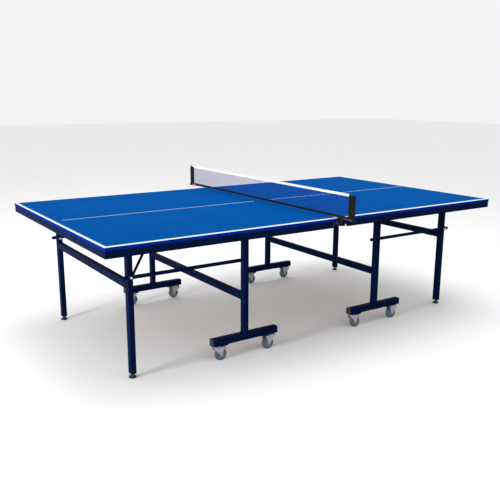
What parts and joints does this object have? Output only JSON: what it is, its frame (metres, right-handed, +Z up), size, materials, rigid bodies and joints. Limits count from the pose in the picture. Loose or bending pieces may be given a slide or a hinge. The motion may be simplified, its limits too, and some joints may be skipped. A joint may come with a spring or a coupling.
{
  "type": "table tennis table",
  "caption": "Indoor table tennis table in two rolling halves that fold upright, with steel legs, castors and a clamp-on net.",
  "frame": {"origin": "on the floor under the middle of the net", "axes": "+X along the table, +Y across it towards the far side, +Z up"},
  "size_m": [2.74, 1.846, 0.9125],
  "materials": {
    "board": "painted blue board with a fine satin grain and white lines",
    "frame": "navy powder coat",
    "black_plastic": "moulded black",
    "zinc": "bright zinc plate",
    "black_steel": "black powder coat",
    "castor_zinc": "zinc-plated pressed steel",
    "tyre": "dark grey-green tyre on a grey hub",
    "pedal_steel": "dark pressed steel",
    "clamp_knob": "black knob on a zinc screw",
    "net_blue": "knotted blue mesh",
    "net_white": "white woven tape",
    "net_black": "black woven cloth of the net's end sleeves and hem"
  },
  "bodies": {
    "left_base": {"left_inner_legs": "frame", "left_inner_crossbar": "frame", "left_bar_caps": "black_plastic", "left_base_bolts": "zinc"},
    "left_top": {"left_board": "board", "left_top_frame": "frame", "left_top_fittings": "frame"},
    "left_outer": {"left_outer_legs": "frame", "left_outer_crossbar": "frame", "left_leg_bolts": "zinc", "left_leg_plugs": "black_plastic"},
    "left_links": {"left_link_bars": "frame"},
    "left_braces": {"left_stays": "black_steel"},
    "left_near_foot": {"left_near_foot": "black_plastic"},
    "left_near_outer_castor": {"left_near_outer_fork": "castor_zinc"},
    "left_near_outer_wheel": {"left_near_outer_wheel": "tyre"},
    "left_near_outer_pedal": {"left_near_outer_pedal": "pedal_steel"},
    "left_near_inner_castor": {"left_near_inner_fork": "castor_zinc"},
    "left_near_inner_wheel": {"left_near_inner_wheel": "tyre"},
    "left_near_inner_pedal": {"left_near_inner_pedal": "pedal_steel"},
    "left_far_foot": {"left_far_foot": "black_plastic"},
    "left_far_outer_castor": {"left_far_outer_fork": "castor_zinc"},
    "left_far_outer_wheel": {"left_far_outer_wheel": "tyre"},
    "left_far_outer_pedal": {"left_far_outer_pedal": "pedal_steel"},
    "left_far_inner_castor": {"left_far_inner_fork": "castor_zinc"},
    "left_far_inner_wheel": {"left_far_inner_wheel": "tyre"},
    "left_far_inner_pedal": {"left_far_inner_pedal": "pedal_steel"},
    "right_base": {"right_inner_legs": "frame", "right_inner_crossbar": "frame", "right_bar_caps": "black_plastic", "right_base_bolts": "zinc"},
    "right_top": {"right_board": "board", "right_top_frame": "frame", "right_top_fittings": "frame", "near_net_post": "black_steel", "far_net_post": "black_steel", "net": "net_blue", "net_tape": "net_white"},
    "right_outer": {"right_outer_legs": "frame", "right_outer_crossbar": "frame", "right_leg_bolts": "zinc", "right_leg_plugs": "black_plastic"},
    "right_links": {"right_link_bars": "frame"},
    "right_braces": {"right_stays": "black_steel"},
    "right_near_foot": {"right_near_foot": "black_plastic"},
    "right_near_outer_castor": {"right_near_outer_fork": "castor_zinc"},
    "right_near_outer_wheel": {"right_near_outer_wheel": "tyre"},
    "right_near_outer_pedal": {"right_near_outer_pedal": "pedal_steel"},
    "right_near_inner_castor": {"right_near_inner_fork": "castor_zinc"},
    "right_near_inner_wheel": {"right_near_inner_wheel": "tyre"},
    "right_near_inner_pedal": {"right_near_inner_pedal": "pedal_steel"},
    "right_far_foot": {"right_far_foot": "black_plastic"},
    "right_far_outer_castor": {"right_far_outer_fork": "castor_zinc"},
    "right_far_outer_wheel": {"right_far_outer_wheel": "tyre"},
    "right_far_outer_pedal": {"right_far_outer_pedal": "pedal_steel"},
    "right_far_inner_castor": {"right_far_inner_fork": "castor_zinc"},
    "right_far_inner_wheel": {"right_far_inner_wheel": "tyre"},
    "right_far_inner_pedal": {"right_far_inner_pedal": "pedal_steel"},
    "near_screw": {"near_clamp_screw": "clamp_knob"},
    "far_screw": {"far_clamp_screw": "clamp_knob"}
  },
  "joints": [
    {"name": "left_fold", "type": "hinge", "parent": "left_base", "child": "left_top", "pos_m": [-0.5, 0, 0.684], "axis": [0, 1, 0], "range_deg": [0, 90]},
    {"name": "right_fold", "type": "hinge", "parent": "right_base", "child": "right_top", "pos_m": [0.5, 0, 0.684], "axis": [0, -1, 0], "range_deg": [0, 90], "deforming": ["net", "net_tape"]},
    {"name": "right_roll", "type": "slide", "parent": "left_base", "child": "right_base", "axis": [1, 0, 0], "range_m": [0, 0.6]},
    {"name": "near_clamp_turn", "type": "slide", "parent": "right_top", "child": "near_screw", "axis": [0, 0, 1], "range_m": [-0.01, 0]},
    {"name": "far_clamp_turn", "type": "slide", "parent": "right_top", "child": "far_screw", "axis": [0, 0, 1], "range_m": [-0.01, 0]},
    {"name": "left_leg_fold", "type": "hinge", "parent": "left_top", "child": "left_outer", "pos_m": [-1.165, 0, 0.684], "axis": [0, 1, 0], "range_deg": [-90, 0]},
    {"name": "left_link_swing", "type": "hinge", "parent": "left_base", "child": "left_links", "pos_m": [-0.5, 0, 0.545], "axis": [0, 1, 0], "range_deg": [0, 90]},
    {"name": "left_stay_swing", "type": "hinge", "parent": "left_outer", "child": "left_braces", "pos_m": [-1.165, 0, 0.545], "axis": [0, 1, 0], "range_deg": [0, 147]},
    {"name": "right_leg_fold", "type": "hinge", "parent": "right_top", "child": "right_outer", "pos_m": [1.165, 0, 0.684], "axis": [0, -1, 0], "range_deg": [-90, 0]},
    {"name": "right_link_swing", "type": "hinge", "parent": "right_base", "child": "right_links", "pos_m": [0.5, 0, 0.545], "axis": [0, -1, 0], "range_deg": [0, 90]},
    {"name": "right_stay_swing", "type": "hinge", "parent": "right_outer", "child": "right_braces", "pos_m": [1.165, 0, 0.545], "axis": [0, -1, 0], "range_deg": [0, 147]},
    {"name": "left_near_foot_screw", "type": "slide", "parent": "left_outer", "child": "left_near_foot", "axis": [0, 0, 1], "range_m": [-0.015, 0]},
    {"name": "left_far_foot_screw", "type": "slide", "parent": "left_outer", "child": "left_far_foot", "axis": [0, 0, 1], "range_m": [-0.015, 0]},
    {"name": "right_near_foot_screw", "type": "slide", "parent": "right_outer", "child": "right_near_foot", "axis": [0, 0, 1], "range_m": [-0.015, 0]},
    {"name": "right_far_foot_screw", "type": "slide", "parent": "right_outer", "child": "right_far_foot", "axis": [0, 0, 1], "range_m": [-0.015, 0]},
    {"name": "left_near_outer_swivel", "type": "hinge", "parent": "left_base", "child": "left_near_outer_castor", "pos_m": [-0.685, -0.594, 0.09], "axis": [0, 0, 1], "continuous": true},
    {"name": "left_near_outer_roll", "type": "hinge", "parent": "left_near_outer_castor", "child": "left_near_outer_wheel", "pos_m": [-0.66, -0.594, 0.035], "axis": [0, 1, 0], "continuous": true},
    {"name": "left_near_outer_brake", "type": "hinge", "parent": "left_near_outer_castor", "child": "left_near_outer_pedal", "pos_m": [-0.645, -0.594, 0.074], "axis": [0, 1, 0], "range_deg": [0, 14]},
    {"name": "left_near_inner_swivel", "type": "hinge", "parent": "left_base", "child": "left_near_inner_castor", "pos_m": [-0.315, -0.594, 0.09], "axis": [0, 0, 1], "continuous": true},
    {"name": "left_near_inner_roll", "type": "hinge", "parent": "left_near_inner_castor", "child": "left_near_inner_wheel", "pos_m": [-0.34, -0.594, 0.035], "axis": [0, 1, 0], "continuous": true},
    {"name": "left_near_inner_brake", "type": "hinge", "parent": "left_near_inner_castor", "child": "left_near_inner_pedal", "pos_m": [-0.355, -0.594, 0.074], "axis": [0, -1, 0], "range_deg": [0, 14]},
    {"name": "left_far_outer_swivel", "type": "hinge", "parent": "left_base", "child": "left_far_outer_castor", "pos_m": [-0.685, 0.594, 0.09], "axis": [0, 0, 1], "continuous": true},
    {"name": "left_far_outer_roll", "type": "hinge", "parent": "left_far_outer_castor", "child": "left_far_outer_wheel", "pos_m": [-0.66, 0.594, 0.035], "axis": [0, 1, 0], "continuous": true},
    {"name": "left_far_outer_brake", "type": "hinge", "parent": "left_far_outer_castor", "child": "left_far_outer_pedal", "pos_m": [-0.645, 0.594, 0.074], "axis": [0, 1, 0], "range_deg": [0, 14]},
    {"name": "left_far_inner_swivel", "type": "hinge", "parent": "left_base", "child": "left_far_inner_castor", "pos_m": [-0.315, 0.594, 0.09], "axis": [0, 0, 1], "continuous": true},
    {"name": "left_far_inner_roll", "type": "hinge", "parent": "left_far_inner_castor", "child": "left_far_inner_wheel", "pos_m": [-0.34, 0.594, 0.035], "axis": [0, 1, 0], "continuous": true},
    {"name": "left_far_inner_brake", "type": "hinge", "parent": "left_far_inner_castor", "child": "left_far_inner_pedal", "pos_m": [-0.355, 0.594, 0.074], "axis": [0, -1, 0], "range_deg": [0, 14]},
    {"name": "right_near_outer_swivel", "type": "hinge", "parent": "right_base", "child": "right_near_outer_castor", "pos_m": [0.685, -0.594, 0.09], "axis": [0, 0, 1], "continuous": true},
    {"name": "right_near_outer_roll", "type": "hinge", "parent": "right_near_outer_castor", "child": "right_near_outer_wheel", "pos_m": [0.66, -0.594, 0.035], "axis": [0, 1, 0], "continuous": true},
    {"name": "right_near_outer_brake", "type": "hinge", "parent": "right_near_outer_castor", "child": "right_near_outer_pedal", "pos_m": [0.645, -0.594, 0.074], "axis": [0, -1, 0], "range_deg": [0, 14]},
    {"name": "right_near_inner_swivel", "type": "hinge", "parent": "right_base", "child": "right_near_inner_castor", "pos_m": [0.315, -0.594, 0.09], "axis": [0, 0, 1], "continuous": true},
    {"name": "right_near_inner_roll", "type": "hinge", "parent": "right_near_inner_castor", "child": "right_near_inner_wheel", "pos_m": [0.34, -0.594, 0.035], "axis": [0, 1, 0], "continuous": true},
    {"name": "right_near_inner_brake", "type": "hinge", "parent": "right_near_inner_castor", "child": "right_near_inner_pedal", "pos_m": [0.355, -0.594, 0.074], "axis": [0, 1, 0], "range_deg": [0, 14]},
    {"name": "right_far_outer_swivel", "type": "hinge", "parent": "right_base", "child": "right_far_outer_castor", "pos_m": [0.685, 0.594, 0.09], "axis": [0, 0, 1], "continuous": true},
    {"name": "right_far_outer_roll", "type": "hinge", "parent": "right_far_outer_castor", "child": "right_far_outer_wheel", "pos_m": [0.66, 0.594, 0.035], "axis": [0, 1, 0], "continuous": true},
    {"name": "right_far_outer_brake", "type": "hinge", "parent": "right_far_outer_castor", "child": "right_far_outer_pedal", "pos_m": [0.645, 0.594, 0.074], "axis": [0, -1, 0], "range_deg": [0, 14]},
    {"name": "right_far_inner_swivel", "type": "hinge", "parent": "right_base", "child": "right_far_inner_castor", "pos_m": [0.315, 0.594, 0.09], "axis": [0, 0, 1], "continuous": true},
    {"name": "right_far_inner_roll", "type": "hinge", "parent": "right_far_inner_castor", "child": "right_far_inner_wheel", "pos_m": [0.34, 0.594, 0.035], "axis": [0, 1, 0], "continuous": true},
    {"name": "right_far_inner_brake", "type": "hinge", "parent": "right_far_inner_castor", "child": "right_far_inner_pedal", "pos_m": [0.355, 0.594, 0.074], "axis": [0, 1, 0], "range_deg": [0, 14]}
  ],
  "couplings": [
    {"joint": "left_leg_fold", "follows": "left_fold", "ratio": -1},
    {"joint": "left_link_swing", "follows": "left_fold", "ratio": 1},
    {"joint": "left_stay_swing", "follows": "left_fold", "ratio": 1.632},
    {"joint": "right_leg_fold", "follows": "right_fold", "ratio": -1},
    {"joint": "right_link_swing", "follows": "right_fold", "ratio": 1},
    {"joint": "right_stay_swing", "follows": "right_fold", "ratio": 1.632}
  ]
}
